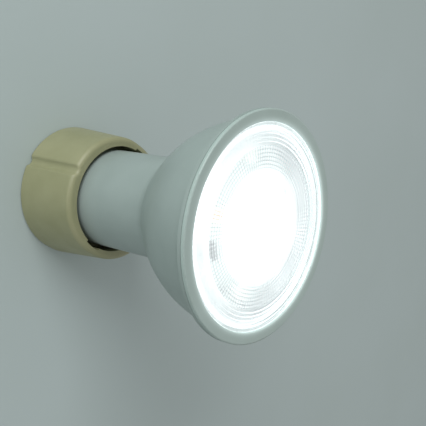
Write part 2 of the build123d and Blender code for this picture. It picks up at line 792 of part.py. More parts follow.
# All pieces, by name
def make_parts():
    cover_screw = make_cover_screw()
    contact = make_contact()
    rivet = make_rivet()
    board_screw = make_board_screw()
    input_x = -(input_cap_side + input_cap_diameter / 2)
    input_low = front_row + leg_room
    bridge_legs = [bridge_leg_inset, bridge_length - bridge_leg_inset]
    first_leg = (chip_length - (chip_legs_a_side - 1) * chip_leg_pitch) / 2
    chip_legs = [first_leg + i * chip_leg_pitch for i in range(chip_legs_a_side)]
    return {
        "holder_body": make_holder_body(),
        "holder_cover": make_holder_cover(),
        "cover_screws": Part() + [cover_screw, half_turn(cover_screw)],
        "left_contact": half_turn(contact),
        "right_contact": contact,
        "contact_rivets": Part() + [rivet, half_turn(rivet)],
        "housing": make_housing(),
        "front_bezel": make_front_bezel(),
        "lens": make_lens(),
        "heat_sink_cup": make_heat_sink_cup(),
        "thermal_pad": make_thermal_pad(),
        "led_board": make_led_board(),
        "cool_white_leds": make_leds(cool_count, cool_ring_radius, cool_start_angle),
        "warm_white_leds": make_leds(warm_count, warm_ring_radius, warm_start_angle),
        "led_board_screws": Part() + [board_screw, half_turn(board_screw)],
        "radio_board": make_radio_board(),
        "radio_shield": make_radio_shield(),
        "driver_board": make_driver_board(),
        "input_capacitor": make_can_capacitor(
            input_cap_diameter, input_cap_length, input_x, input_low, driver_front, 1
        ),
        "output_capacitor": make_can_capacitor(
            output_cap_diameter, output_cap_length, 0, output_cap_bottom, driver_rear, -1
        ),
        "film_capacitor": make_film_capacitor(),
        "transformer_core": make_transformer_core(),
        "transformer_coil": make_transformer_coil(),
        "bridge_rectifier": make_chip(bridge_width, bridge_length, bridge_height, bridge_bottom, bridge_legs),
        "driver_chip": make_chip(chip_width, chip_length, chip_height, chip_bottom, chip_legs),
        "fuse_resistor": make_fuse_resistor(),
        "header_block": make_header_block(),
        "header_pins": make_header_pins(),
        "left_pin": make_pin(-1),
        "right_pin": make_pin(1),
        "left_lead": make_lead(-1),
        "right_lead": make_lead(1),
    }


os.makedirs("parts", exist_ok=True)
for name, shape in make_parts().items():
    export_step(shape, f"parts/{name}.step")
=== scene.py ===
"""Looks of a twist-lock spot bulb in its lampholder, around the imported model.

Metres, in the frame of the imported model: +Z runs from the flat back of the holder to the lens. Sizes below
are in millimetres and are turned to metres by MM.
"""
import json
from math import cos, pi, radians, sin

import bmesh
import bpy
from mathutils import Matrix, Vector


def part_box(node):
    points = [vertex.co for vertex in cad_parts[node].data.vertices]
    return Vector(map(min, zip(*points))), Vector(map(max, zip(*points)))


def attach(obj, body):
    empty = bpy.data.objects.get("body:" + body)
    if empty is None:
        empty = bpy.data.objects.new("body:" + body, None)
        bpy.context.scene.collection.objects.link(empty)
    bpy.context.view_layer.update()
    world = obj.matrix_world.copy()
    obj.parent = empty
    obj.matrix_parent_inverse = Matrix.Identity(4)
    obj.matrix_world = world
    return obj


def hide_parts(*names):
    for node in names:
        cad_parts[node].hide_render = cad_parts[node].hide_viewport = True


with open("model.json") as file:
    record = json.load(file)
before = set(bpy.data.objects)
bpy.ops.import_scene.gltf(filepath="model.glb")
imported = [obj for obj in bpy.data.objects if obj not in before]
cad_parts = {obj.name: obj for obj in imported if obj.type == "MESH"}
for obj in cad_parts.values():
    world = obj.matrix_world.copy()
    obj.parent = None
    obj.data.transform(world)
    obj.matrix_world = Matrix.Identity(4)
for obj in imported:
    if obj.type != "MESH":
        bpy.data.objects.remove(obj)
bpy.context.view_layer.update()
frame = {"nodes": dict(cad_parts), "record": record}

MM = 0.001

# Sizes of the lens, as the solid has them
lens_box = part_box("lens")
lens_flange_radius = lens_box[1].x / MM
lens_skirt_end = lens_box[0].z / MM
lens_radius = 22.2
lens_eye_radius = 11.0
lens_eye_crown = 0.3
lens_belt_depth = 0.15
lens_face = lens_box[1].z / MM - lens_eye_crown + lens_belt_depth
lens_belt = lens_face - lens_belt_depth
lens_flange_drop = 0.55        # front of the flange below the face
lens_flange_thickness = 0.5
lens_flange_top = lens_face - lens_flange_drop
lens_flange_back = lens_flange_top - lens_flange_thickness
lens_thickness = 1.6
lens_back = lens_face - lens_thickness
lens_skirt_radius = 21.376     # just inside the wall of the bowl
lens_skirt_wall = 1.4
lens_skirt_inside = lens_skirt_radius - lens_skirt_wall
lens_eye_steps = 14            # mesh steps from the middle of the eye to its edge
lens_ring_count = 5
lens_ring_pitch = 0.86
lens_ring_depth = 0.25
lens_ring_step = 0.15
lens_land = 0.5
ring_end = lens_radius - lens_land
ring_start = ring_end - lens_ring_count * lens_ring_pitch

# Pillow facets in the belt, 0.7 to 0.9 mm wide, and ripples in the rings in line with them. The real
# ones are about 0.5 mm wide, and are drawn coarser so that they show.
facet_count = 120
facet_rows = 6
facet_start = 12.6
facet_pitch = (ring_start - facet_start) / facet_rows
facet_rise = 0.07
facet_steps = 5                # mesh steps across one facet
ripple_depth = 0.02
ring_shade = 0.25              # depth of the painted shade lines in the rings, against 1 for the creases of the belt
ring_frost = 0.42              # roughness of the rings
belt_frost = 0.12              # roughness of the eye and the belt
level_slack = 0.02             # for telling the levels of the lens apart
bezel_glow_fall = 5.0          # how fast the painted glow from the lens edge dies away across the bezel

# Small parts on the LED board
led_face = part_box("led_board")[1].z / MM
resistor_count = 8
resistor_ring = 15.0
resistor_angle = 51.5          # degrees
resistor_length = 2.0
resistor_width = 1.25
resistor_height = 0.5
resistor_glaze_length = 1.2    # dark middle between the tinned ends
resistor_glaze_lift = 0.04
resistor_edge = 0.06
header_pin_count = 4
header_pitch = 2.54
header_line = -0.05
solder_foot = 0.85
solder_top = 0.4
solder_height = 0.6
aerial_joint_count = 4
aerial_joint_pitch = 0.9
aerial_radius = 12.4           # inner face of the aerial board
aerial_angle = -42.0           # degrees
aerial_joint_scale = 0.62      # against a header joint
solder_steps = 5               # mesh steps up a joint
header_joint_sides = 20
aerial_joint_sides = 16
sharp_edge = radians(25.0)     # faces that meet at more than this show an edge

# Markings and bare metal of the electronic parts
window_sink = 0.05             # below the top of an LED, half way down its window
level_rise = 0.9               # upward share of a normal above which a face counts as level
stripe_angle = 1.1             # radians from +X to the pale stripe of a capacitor
stripe_reach = 0.3             # radians each side of the middle of the stripe
sleeve_fold = 0.6              # sleeve turned in over the end of a capacitor
end_slack = 0.03               # for telling the end of a capacitor from its wall
capacitor_leg = 1.18           # bare legs below a capacitor
chip_leg = 0.9
fuse_leg = 1.1
fuse_bands = ((-1.7, "#5A3420"), (-0.8, "#1E1E20"), (0.1, "#5A3420"), (1.5, "#B98E3C"))
fuse_band_reach = 0.22         # each side of the middle of a band
draw_lines = 240               # round the wall of the pressed cup

# Camera, fitted to the photo
camera_turn = radians(18.0)
camera_elevation = radians(39.02)
camera_roll = radians(101.0)
camera_place = Vector((-1.09, -133.79, 155.67)) * MM
camera_focal_length = 65.915
camera_sensor = 36.0

# Light and floor, in metres and watts. A lamp's side is in the camera's axes: right, up and towards the
# camera.
lamp_size = 0.5
lamp_distance = 0.7
key_power = 3.1
key_side = (0.05, 0.62, 0.78)
fill_power = 0.7
fill_side = (-0.45, 0.25, 0.86)
world_level = 0.47
floor_size = 6.0

# Most of a noise lies between these levels
noise_low = 0.3
noise_high = 0.7
noise_detail = 3.0

MIX_FACTOR, MIX_A, MIX_B, MIX_COLOUR = 0, 6, 7, 2     # sockets of a colour Mix node


def linear(colour):
    """Linear colour of an sRGB hex value."""
    parts = [int(colour[i:i + 2], 16) / 255 for i in (1, 3, 5)]
    return [c / 12.92 if c <= 0.04045 else ((c + 0.055) / 1.055) ** 2.4 for c in parts] + [1.0]


def add(tree, kind, inputs=None, **settings):
    """Add a node with its settings. An input is a socket to link, a hex colour or any plain value."""
    node = tree.nodes.new(kind)
    for name, value in settings.items():
        setattr(node, name, value)
    for name, value in (inputs or {}).items():
        if isinstance(value, bpy.types.NodeSocket):
            tree.links.new(value, node.inputs[name])
        else:
            node.inputs[name].default_value = linear(value) if isinstance(value, str) else value
    return node


def make_material(name, finish, *details):
    """Material whose shader inputs are what a finish function returns for its tree.

    A finish may also have a relief: a pattern of 0 to 1, and its depth in millimetres.
    """
    material = bpy.data.materials.new(name)
    material.use_nodes = True
    tree = material.node_tree
    tree.nodes.clear()
    place = add(tree, "ShaderNodeTexCoord").outputs["Object"]
    inputs = finish(tree, place, *details)
    if "Relief" in inputs:
        pattern, depth = inputs.pop("Relief")
        bump = add(tree, "ShaderNodeBump", {"Height": pattern, "Distance": depth * MM, "Strength": 1.0})
        inputs["Normal"] = bump.outputs["Normal"]
    shader = add(tree, "ShaderNodeBsdfPrincipled", inputs)
    add(tree, "ShaderNodeOutputMaterial", {"Surface": shader.outputs["BSDF"]})
    return material


# Patterns
def drift(tree, place, low, high, *patch):
    """Number that drifts between two values, in patches of one size in mm, or of one for each axis."""
    per_axis = patch if len(patch) == 3 else patch * 3
    scale = [1 / (size * MM) for size in per_axis]
    scaled = add(tree, "ShaderNodeMapping", {"Vector": place, "Scale": scale}).outputs["Vector"]
    noise = add(tree, "ShaderNodeTexNoise", {"Vector": scaled, "Scale": 1.0, "Detail": noise_detail})
    span = add(tree, "ShaderNodeMapRange", {
        "Value": noise.outputs["Fac"], "From Min": noise_low, "From Max": noise_high,
        "To Min": low, "To Max": high,
    })
    return span.outputs["Result"]


def bands(tree, length, pitch):
    """Wave of 0 to 1 along a length, with its pitch in millimetres."""
    phase = add(tree, "ShaderNodeMath", {0: length, 1: 2 * pi / (pitch * MM)}, operation="MULTIPLY")
    wave = add(tree, "ShaderNodeMath", {0: phase.outputs["Value"]}, operation="SINE")
    span = add(tree, "ShaderNodeMapRange", {"Value": wave.outputs["Value"], "From Min": -1.0})
    return span.outputs["Result"]


def marked(tree, ground, *marks):
    """Colour of a ground with marks laid over it in turn, each an amount of 0 to 1 and its colour."""
    for amount, colour in marks:
        layers = {MIX_FACTOR: amount, MIX_A: ground, MIX_B: colour}
        ground = add(tree, "ShaderNodeMix", layers, data_type="RGBA").outputs[MIX_COLOUR]
    return ground


def mottled(tree, place, first, second, patch):
    """Colour that drifts between two hex values, in patches of a size in mm."""
    return marked(tree, first, (drift(tree, place, 0.0, 1.0, patch), second))


def about_axis(tree, place, x=0.0, y=0.0):
    """Radius and angle of a place about an upright axis."""
    moved = add(tree, "ShaderNodeVectorMath", {0: place, 1: (-x, -y, 0)}, operation="ADD")
    axes = add(tree, "ShaderNodeSeparateXYZ", {"Vector": moved.outputs["Vector"]}).outputs
    flat = add(tree, "ShaderNodeCombineXYZ", {"X": axes["X"], "Y": axes["Y"]})
    radius = add(tree, "ShaderNodeVectorMath", {0: flat.outputs["Vector"]}, operation="LENGTH")
    angle = add(tree, "ShaderNodeMath", {0: axes["Y"], 1: axes["X"]}, operation="ARCTAN2")
    return radius.outputs["Value"], angle.outputs["Value"]


def pillows(tree, phase):
    """Wave that is 0 at each half turn of a phase, in the creases, and 1 half way between them."""
    wave = add(tree, "ShaderNodeMath", {0: phase}, operation="SINE").outputs["Value"]
    return add(tree, "ShaderNodeMath", {0: wave}, operation="ABSOLUTE").outputs["Value"]


def spokes(tree, angle, count):
    """Pillows round an axis, as many as the count."""
    turns = add(tree, "ShaderNodeMath", {0: angle, 1: count}, operation="MULTIPLY")
    half = add(tree, "ShaderNodeMath", {0: turns.outputs["Value"], 1: 0.5}, operation="MULTIPLY")
    return pillows(tree, half.outputs["Value"])


def rows(tree, radius, start, pitch):
    """Pillows outwards from a start radius, one to each pitch."""
    reach = add(tree, "ShaderNodeMath", {0: radius, 1: start}, operation="SUBTRACT")
    count = add(tree, "ShaderNodeMath", {0: reach.outputs["Value"], 1: pitch}, operation="DIVIDE")
    half = add(tree, "ShaderNodeMath", {0: count.outputs["Value"], 1: pi}, operation="MULTIPLY")
    return pillows(tree, half.outputs["Value"])


# Mouldings of the holder and the bulb
def cream_moulding(tree, place):
    # Cream urea moulding from a lightly polished tool: warm, even, with a broad dull sheen.
    # Its grain of about 0.1 mm is drawn at 0.5 mm, so that it shows.
    grain = drift(tree, place, 0.0, 1.0, 0.5)
    return {
        "Base Color": mottled(tree, place, "#969775", "#8C8E6B", 7.0),
        "Roughness": drift(tree, place, 0.4, 0.5, 4.0),
        "IOR": 1.55,
        "Relief": (grain, 0.006),
    }


def white_shell(tree, place, light, dark):
    # White polycarbonate moulded in a spark-eroded tool: satin, cool off-white with soft, wide highlights.
    # Its grain of about 0.08 mm is drawn at 0.45 mm, so that it shows.
    grain = drift(tree, place, 0.0, 1.0, 0.45)
    return {
        "Base Color": mottled(tree, place, light, dark, 11.0),
        "Roughness": drift(tree, place, 0.36, 0.46, 5.0),
        "IOR": 1.58,
        "Relief": (grain, 0.004),
    }


def painted_light_polycarbonate(tree, place, box):
    # The same polycarbonate round the lens, painted lighter than the shell for the light its front face
    # gets.
    # A painted glow at its inner edge stands in for the light that leaks in from the lens.
    radius = about_axis(tree, place)[0]
    nearness = add(tree, "ShaderNodeMapRange", {
        "Value": radius, "From Min": lens_radius * MM, "From Max": box[1].x, "To Min": 1.0, "To Max": 0.0,
    }).outputs["Result"]
    # Painted glow, fading outwards from the lens edge
    painted_edge_glow = add(tree, "ShaderNodeMath", {0: nearness, 1: bezel_glow_fall}, operation="POWER")
    return {
        # Painted light: lighter colours than the shell's, for the light on the front face
        **white_shell(tree, place, "#A9BBB6", "#A2B4AE"),
        "Emission Color": marked(tree, "#000000", (painted_edge_glow.outputs["Value"], "#9AA6A6")),
        "Emission Strength": 1.0,
    }


def clear_lens(tree, place):
    # Clear moulded polycarbonate over lit LEDs. The light that its optics scatter is painted on as a glow:
    # brightest in the eye, dimmer in the faceted belt, with painted shade in fine creases. The frosted rings
    # spread the light from inside, so they have the least painted glow of their own.
    radius, angle = about_axis(tree, place)
    share = add(tree, "ShaderNodeMath", {0: radius, 1: lens_radius * MM}, operation="DIVIDE")
    glow = add(tree, "ShaderNodeValToRGB", {"Fac": share.outputs["Value"]})
    belt_end = ring_start / lens_radius
    # Painted glow at shares of the radius: the eye and its edge, the belt, the rings and the rim
    levels = [
        (0.0, "#C6CBCB"), (0.38, "#C2C7C7"), (0.47, "#A6ACAD"), (0.55, "#ACB2B3"),
        (belt_end - 0.01, "#ACB2B3"), (belt_end, "#787E7F"), (0.89, "#787E7F"), (0.93, "#868C8D"),
        (0.985, "#A2A8A9"),
    ]
    ramp = glow.color_ramp
    while len(ramp.elements) < len(levels):
        ramp.elements.new(1.0)
    for element, (position, colour) in zip(ramp.elements, levels):
        element.position = position
        element.color = linear(colour)
    across = spokes(tree, angle, facet_count)
    along = rows(tree, radius, facet_start * MM, facet_pitch * MM)
    facets = add(tree, "ShaderNodeMath", {0: across, 1: along}, operation="MULTIPLY").outputs["Value"]
    outward = rows(tree, radius, ring_start * MM, lens_ring_pitch * MM)
    ribs = add(tree, "ShaderNodeMath", {0: across, 1: outward}, operation="MULTIPLY").outputs["Value"]
    zones = ((facets, facet_start, ring_start, 1.0), (ribs, ring_start, ring_end, ring_shade))
    shade = 0.0
    for wave, inner, outer, depth in zones:
        middle = (inner + outer) / 2 * MM
        half = (outer - inner) / 2 * MM
        inside = add(tree, "ShaderNodeMath", {0: radius, 1: middle, 2: half}, operation="COMPARE")
        crease = add(tree, "ShaderNodeMath", {0: wave, 1: -depth, 2: depth}, operation="MULTIPLY_ADD")
        parts = {0: crease.outputs["Value"], 1: inside.outputs["Value"], 2: shade}
        shade = add(tree, "ShaderNodeMath", parts, operation="MULTIPLY_ADD").outputs["Value"]
    frost = add(tree, "ShaderNodeMapRange", {
        "Value": radius, "From Min": (ring_start - facet_pitch) * MM,
        "From Max": (ring_start + lens_ring_pitch) * MM, "To Min": belt_frost, "To Max": ring_frost,
    })
    return {
        "Base Color": "#FFFFFF",
        "Roughness": frost.outputs["Result"],
        "IOR": 1.58,
        "Transmission Weight": 1.0,
        # Painted shade along the facet creases of the belt and the ribs of the rings
        "Emission Color": marked(tree, glow.outputs["Color"], (shade, "#6E7475")),
        "Emission Strength": 1.0,
    }


# Metals
def zinc_plated_steel(tree, place):
    # Steel with a clear-passivated zinc plate: bluish white with faint straw-coloured patches.
    return {
        "Base Color": mottled(tree, place, "#C9CDD0", "#C6C1AE", 1.1),
        "Metallic": 1.0,
        "Roughness": drift(tree, place, 0.26, 0.42, 0.7),
    }


def rolled_brass(tree, place):
    # Hard-rolled brass strip: yellow, with fine rolling streaks along the leaf, 0.12 mm apart.
    streaks = drift(tree, place, 0.0, 1.0, 4.0, 0.12, 0.12)
    return {
        "Base Color": marked(tree, "#C9A860", (streaks, "#B18F4C")),
        "Metallic": 1.0,
        "Roughness": drift(tree, place, 0.24, 0.36, 4.0, 0.12, 0.12),
        "Relief": (streaks, 0.002),
    }


def nickel_pin(tree, place):
    # Turned brass with a nickel plate: warm grey metal with turning lines 0.15 mm apart, drawn at 0.3 mm.
    axes = add(tree, "ShaderNodeSeparateXYZ", {"Vector": place}).outputs
    lines = bands(tree, axes["Z"], 0.3)
    return {
        "Base Color": mottled(tree, place, "#C4C0B4", "#B3AFA4", 1.6),
        "Metallic": 1.0,
        "Roughness": drift(tree, place, 0.2, 0.32, 0.8),
        "Relief": (lines, 0.004),
    }


def pressed_aluminium(tree, place):
    # Deep-drawn bare aluminium: pale metal with fine draw lines up the wall and dull patches.
    angle = about_axis(tree, place)[1]
    lines = spokes(tree, angle, draw_lines)
    return {
        "Base Color": mottled(tree, place, "#D2D4D5", "#BEC1C3", 3.0),
        "Metallic": 1.0,
        "Roughness": drift(tree, place, 0.3, 0.45, 2.0),
        "Relief": (lines, 0.006),
    }


def tinned_steel(tree, place):
    # Hot-tinned sheet and solder: soft silver with shallow frozen ripples.
    ripples = drift(tree, place, 0.0, 1.0, 0.6)
    return {
        "Base Color": mottled(tree, place, "#C6CACB", "#B2B6B8", 1.5),
        "Metallic": 1.0,
        "Roughness": drift(tree, place, 0.22, 0.36, 0.9),
        "Relief": (ripples, 0.008),
    }


# Boards and their parts
def solder_mask(tree, place, field_colour, gap_colour, plane, field, gap):
    # Screen-printed solder mask over etched copper: glossy, with the gaps between fields sunk and darker.
    turned = add(tree, "ShaderNodeMapping", {"Vector": place, "Rotation": plane.to_euler()})
    fields = add(tree, "ShaderNodeTexBrick", {
        "Vector": turned.outputs["Vector"], "Scale": 1 / MM, "Brick Width": field[0],
        "Row Height": field[1], "Mortar Size": gap / 2, "Mortar Smooth": 0.2,
        "Color1": field_colour, "Color2": field_colour, "Mortar": gap_colour,
    })
    level = add(tree, "ShaderNodeMath", {0: 1.0, 1: fields.outputs["Fac"]}, operation="SUBTRACT")
    return {
        "Base Color": fields.outputs["Color"],
        "Roughness": drift(tree, place, 0.3, 0.4, 3.0),
        "IOR": 1.53,
        "Relief": (level.outputs["Value"], 0.03),
    }


def led_window(tree, place, box):
    """1 in the sunk windows of a ring of LEDs and 0 on their bodies."""
    axes = add(tree, "ShaderNodeSeparateXYZ", {"Vector": place}).outputs
    normal = add(tree, "ShaderNodeNewGeometry").outputs["Normal"]
    rise = add(tree, "ShaderNodeSeparateXYZ", {"Vector": normal}).outputs["Z"]
    body_top = box[1].z - window_sink * MM
    sunk = add(tree, "ShaderNodeMath", {0: axes["Z"], 1: body_top}, operation="LESS_THAN")
    level = add(tree, "ShaderNodeMath", {0: rise, 1: level_rise}, operation="GREATER_THAN")
    both = {0: sunk.outputs["Value"], 1: level.outputs["Value"]}
    return add(tree, "ShaderNodeMath", both, operation="MULTIPLY").outputs["Value"]


def lit_phosphor(tree, place, box):
    # White LED that is on: glowing pale phosphor in a white reflector body.
    window = led_window(tree, place, box)
    phosphor = mottled(tree, place, "#F3E9A8", "#EBDD92", 0.3)
    return {
        "Base Color": marked(tree, "#C2C6C2", (window, phosphor)),
        "Roughness": drift(tree, place, 0.4, 0.55, 0.5),
        "Emission Color": marked(tree, "#000000", (window, "#FFF9EC")),
        "Emission Strength": 0.7,
    }


def amber_phosphor(tree, place, box):
    # Warm white LED that is off: orange phosphor under clear silicone in a white reflector body.
    # A painted glow in its window stands in for the light of the lit LEDs beside it.
    window = led_window(tree, place, box)
    phosphor = mottled(tree, place, "#D8701E", "#CC641A", 0.3)
    return {
        "Base Color": marked(tree, "#C2C2B8", (window, phosphor)),
        "Roughness": drift(tree, place, 0.3, 0.45, 0.5),
        # Painted glow in the window
        "Emission Color": marked(tree, "#000000", (window, "#7A3A10")),
        "Emission Strength": 1.0,
    }


def silicone_pad(tree, place):
    # Filled silicone sheet: dull blue-grey with a fine ceramic speckle of about 0.2 mm.
    speckle = drift(tree, place, 0.0, 1.0, 0.2)
    return {
        "Base Color": marked(tree, "#98A0A8", (speckle, "#868E96")),
        "Roughness": drift(tree, place, 0.75, 0.85, 1.0),
        "Relief": (speckle, 0.01),
    }


def capacitor_sleeve(tree, place, box):
    # Aluminium can in a shrunk dark sleeve: glossy, with a pale stripe, a bare end and tinned legs.
    radius = (box[1].x - box[0].x) / 2
    outward = 1 if box[1].y > 0 else -1
    middle = box[1].y - radius if outward > 0 else box[0].y + radius
    reach, angle = about_axis(tree, place, box[0].x + radius, middle)
    height = add(tree, "ShaderNodeSeparateXYZ", {"Vector": place}).outputs["Z"]
    stripe_place = {0: angle, 1: outward * stripe_angle, 2: stripe_reach}
    stripe = add(tree, "ShaderNodeMath", stripe_place, operation="COMPARE").outputs["Value"]
    end = add(tree, "ShaderNodeMath", {0: height, 1: box[1].z - end_slack * MM}, operation="GREATER_THAN")
    inner = add(tree, "ShaderNodeMath", {0: reach, 1: radius - sleeve_fold * MM}, operation="LESS_THAN")
    both = {0: end.outputs["Value"], 1: inner.outputs["Value"]}
    bare_end = add(tree, "ShaderNodeMath", both, operation="MULTIPLY").outputs["Value"]
    leg = add(tree, "ShaderNodeMath", {0: height, 1: box[0].z + capacitor_leg * MM}, operation="LESS_THAN")
    bare = {0: bare_end, 1: leg.outputs["Value"]}
    metal = add(tree, "ShaderNodeMath", bare, operation="MAXIMUM").outputs["Value"]
    return {
        "Base Color": marked(tree, "#1D1F26", (stripe, "#B9BDC2"), (metal, "#C9CCCE")),
        "Metallic": metal,
        "Roughness": drift(tree, place, 0.24, 0.34, 1.5),
        "Relief": (drift(tree, place, 0.0, 1.0, 1.2), 0.01),
    }


def dipped_epoxy(tree, place):
    # Dipped and baked epoxy: deep brick red, glossy, with a slow orange-peel of about 0.8 mm.
    return {
        "Base Color": mottled(tree, place, "#8F2D1E", "#7A2317", 1.4),
        "Roughness": drift(tree, place, 0.2, 0.3, 1.0),
        "IOR": 1.55,
        "Relief": (drift(tree, place, 0.0, 1.0, 0.8), 0.02),
    }


def sintered_ferrite(tree, place):
    # Pressed and sintered ferrite: dull charcoal with a slight sparkle, grain drawn at 0.15 mm.
    grain = drift(tree, place, 0.0, 1.0, 0.15)
    return {
        "Base Color": marked(tree, "#3F4042", (grain, "#2C2D2F")),
        "Roughness": drift(tree, place, 0.55, 0.75, 0.3),
        "Relief": (grain, 0.008),
    }


def wound_tape(tree, place):
    # Polyester tape round the winding: glossy yellow, with the edges of its turns 1.3 mm apart.
    axes = add(tree, "ShaderNodeSeparateXYZ", {"Vector": place}).outputs
    turns = bands(tree, axes["Z"], 1.3)
    return {
        "Base Color": marked(tree, "#D9B63A", (turns, "#C8A22C")),
        "Roughness": drift(tree, place, 0.28, 0.4, 0.9),
        "Relief": (turns, 0.05),
    }


def moulded_epoxy(tree, place):
    # Transfer-moulded epoxy: matt black with a fine mould texture.
    grain = drift(tree, place, 0.0, 1.0, 0.2)
    return {
        "Base Color": marked(tree, "#26272A", (grain, "#1C1D1F")),
        "Roughness": drift(tree, place, 0.5, 0.65, 0.8),
        "Relief": (grain, 0.006),
    }


def end_legs(tree, along, box, length):
    """1 on the legs at both ends of a part that lies along X, and 0 on its body."""
    reach = add(tree, "ShaderNodeMath", {0: along}, operation="ABSOLUTE").outputs["Value"]
    body_end = box[1].x - length * MM
    return add(tree, "ShaderNodeMath", {0: reach, 1: body_end}, operation="GREATER_THAN").outputs["Value"]


def epoxy_package(tree, place, box):
    # The same epoxy round a chip, with tinned legs at both ends.
    along = add(tree, "ShaderNodeSeparateXYZ", {"Vector": place}).outputs["X"]
    leg = end_legs(tree, along, box, chip_leg)
    epoxy = moulded_epoxy(tree, place)
    return {
        **epoxy,
        "Base Color": marked(tree, epoxy["Base Color"], (leg, "#C6CACB")),
        "Metallic": leg,
    }


def fuse_enamel(tree, place, box):
    # Wire-wound fuse resistor: grey-green cement enamel with colour bands and tinned legs.
    along = add(tree, "ShaderNodeSeparateXYZ", {"Vector": place}).outputs["X"]
    marks = []
    for middle, colour in fuse_bands:
        span = {0: along, 1: middle * MM, 2: fuse_band_reach * MM}
        band = add(tree, "ShaderNodeMath", span, operation="COMPARE").outputs["Value"]
        marks.append((band, colour))
    leg = end_legs(tree, along, box, fuse_leg)
    enamel = mottled(tree, place, "#7B8781", "#6B7771", 0.5)
    return {
        "Base Color": marked(tree, enamel, *marks, (leg, "#C6CACB")),
        "Metallic": leg,
        "Roughness": drift(tree, place, 0.35, 0.5, 0.8),
        "Relief": (drift(tree, place, 0.0, 1.0, 0.4), 0.012),
    }


def silicone_wire(tree, place):
    # Extruded silicone insulation: soft white with a dull bloom.
    bloom = drift(tree, place, 0.0, 1.0, 0.8)
    return {
        "Base Color": marked(tree, "#DADAD4", (bloom, "#CBCBC4")),
        "Roughness": drift(tree, place, 0.5, 0.65, 0.8),
        "Relief": (bloom, 0.006),
    }


def paper_floor(tree, place):
    # Matt backdrop paper, pale and plain
    return {
        "Base Color": mottled(tree, place, "#B5C3C2", "#B2C0BE", 60.0),
        "Roughness": 0.9,
    }


# Meshes
def lens_outline():
    """Radius and height of the lens from the middle of its face round to the middle of its back."""
    points = []
    for i in range(lens_eye_steps):
        radius = lens_eye_radius * i / lens_eye_steps
        points.append((radius, lens_belt + lens_eye_crown * (1 - (radius / lens_eye_radius) ** 2)))
    points.append((lens_eye_radius, lens_belt))
    for i in range(facet_rows * facet_steps + 1):
        points.append((facet_start + facet_pitch * i / facet_steps, lens_belt))
    points.append((ring_start, lens_face))
    for i in range(lens_ring_count):
        outer = ring_start + (i + 1) * lens_ring_pitch
        points.append((outer - lens_ring_step, lens_face - lens_ring_depth))
        points.append((outer, lens_face))
    points += [
        (lens_radius, lens_face), (lens_radius, lens_flange_top), (lens_flange_radius, lens_flange_top),
        (lens_flange_radius, lens_flange_back), (lens_skirt_radius, lens_flange_back),
        (lens_skirt_radius, lens_skirt_end), (lens_skirt_inside, lens_skirt_end),
        (lens_skirt_inside, lens_back), (0, lens_back),
    ]
    return points


def solder_outline(scale):
    """Radius and height of a solder joint that has run up a pin."""
    points = [(0, solder_height * scale)]
    for i in range(solder_steps + 1):
        share = i / solder_steps
        radius = solder_top + (solder_foot - solder_top) * share ** 2
        points.append((radius * scale, solder_height * scale * (1 - share)))
    points.append((0, 0))
    return points


def turned_mesh(name, outline, segments):
    """Closed mesh of revolution about Z, from an outline that starts and ends on the axis."""
    rings = outline[1:-1]
    vertices = [(0, 0, outline[0][1] * MM), (0, 0, outline[-1][1] * MM)]
    for radius, height in rings:
        for k in range(segments):
            angle = 2 * pi * k / segments
            vertices.append((radius * cos(angle) * MM, radius * sin(angle) * MM, height * MM))
    faces = []
    for k in range(segments):
        after = (k + 1) % segments
        faces.append((0, 2 + k, 2 + after))
        for ring in range(len(rings) - 1):
            low, high = 2 + ring * segments, 2 + (ring + 1) * segments
            faces.append((low + k, high + k, high + after, low + after))
        last = 2 + (len(rings) - 1) * segments
        faces.append((1, last + after, last + k))
    mesh = bpy.data.meshes.new(name)
    mesh.from_pydata(vertices, [], faces)
    mesh.validate()
    return mesh


def block_mesh(name, length, width, height, edge):
    """Block on the XY plane with chamfered edges."""
    mesh = bpy.data.meshes.new(name)
    form = bmesh.new()
    bmesh.ops.create_cube(form, size=1.0)
    bmesh.ops.scale(form, vec=(length * MM, width * MM, height * MM), verts=form.verts)
    bmesh.ops.translate(form, vec=(0, 0, height * MM / 2), verts=form.verts)
    bmesh.ops.bevel(form, geom=form.edges[:], offset=edge * MM, segments=1, affect="EDGES")
    form.to_mesh(mesh)
    form.free()
    return mesh


# Rules that repeat or shape a mesh
def new_tree(name, **sizes):
    """Tree that takes a mesh, a finish and named sizes, and the sockets that they come from."""
    tree = bpy.data.node_groups.new(name, "GeometryNodeTree")
    kinds = {"Mesh": "Geometry", "Finish": "Material", **sizes}
    for size, kind in kinds.items():
        tree.interface.new_socket(size.replace("_", " "), in_out="INPUT", socket_type="NodeSocket" + kind)
    tree.interface.new_socket("Mesh", in_out="OUTPUT", socket_type="NodeSocketGeometry")
    return tree, add(tree, "NodeGroupInput").outputs


def end_tree(tree, given, mesh):
    """Make what a tree repeats real, give it its finish and hand it out."""
    real = add(tree, "GeometryNodeRealizeInstances", {"Geometry": mesh}).outputs["Geometry"]
    done = add(tree, "GeometryNodeSetMaterial", {"Geometry": real, "Material": given["Finish"]})
    add(tree, "NodeGroupOutput", {"Mesh": done.outputs["Geometry"]})


